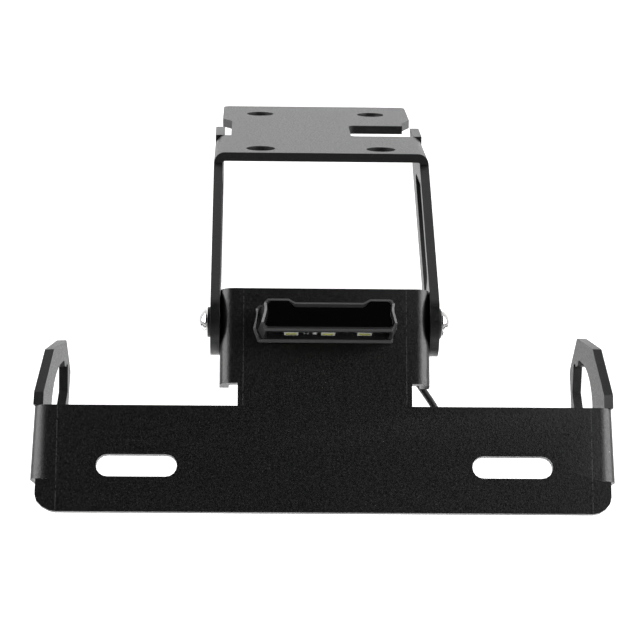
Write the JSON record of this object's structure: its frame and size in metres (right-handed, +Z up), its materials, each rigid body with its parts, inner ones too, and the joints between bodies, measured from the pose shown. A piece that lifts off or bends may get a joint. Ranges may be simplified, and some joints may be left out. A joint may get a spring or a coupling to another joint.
{
  "type": "licence plate holder",
  "caption": "Folded steel tail bracket with an adjustable plate holder, indicator ears and an LED plate lamp on a short cable.",
  "frame": {"origin": "on the top face of the mounting bracket, at the centre of its four bolt holes", "axes": "+Z up out of the top face, +Y back along the bracket away from the plate, +X to the right as the plate is read"},
  "size_m": [0.226, 0.2526, 0.1281],
  "materials": {
    "powder_coat": "satin black powder coat with a fine orange peel",
    "bright_steel": "bright plated steel",
    "white_nylon": "plain nylon",
    "black_nylon": "plain nylon",
    "black_plastic": "moulded, satin",
    "dark_gloss": "polished, nearly black",
    "clear_lens": "clear polycarbonate",
    "circuit_board": "black solder mask",
    "led_package": "white package with a pale yellow face",
    "black_rubber": "matt",
    "cable_sheath": "smooth black sheath"
  },
  "bodies": {
    "bracket": {"mounting_bracket": "powder_coat", "pivot_screw_left": "bright_steel", "pivot_screw_right": "bright_steel", "pivot_washer_left": "bright_steel", "pivot_washer_right": "bright_steel", "inner_washer_left": "bright_steel", "inner_washer_right": "bright_steel", "pivot_nut_left": "bright_steel", "pivot_nut_right": "bright_steel", "nut_insert_left": "white_nylon", "nut_insert_right": "white_nylon"},
    "holder": {"plate_holder": "powder_coat", "lamp_housing": "black_plastic", "lamp_front_panel": "dark_gloss", "lamp_lens": "clear_lens", "lamp_circuit_board": "circuit_board", "led_1": "led_package", "led_2": "led_package", "led_3": "led_package", "resistor_1": "led_package", "resistor_2": "led_package", "lamp_screw_left": "bright_steel", "lamp_screw_right": "bright_steel", "cable_grommet": "black_rubber", "lamp_cable": "cable_sheath", "cable_coil": "cable_sheath", "cable_tie": "black_nylon", "cable_plug": "black_nylon"}
  },
  "joints": [
    {"name": "plate_tilt", "type": "hinge", "parent": "bracket", "child": "holder", "pos_m": [0, -0.1332, -0.0567], "axis": [1, 0, 0], "range_deg": [-60, 90]}
  ]
}
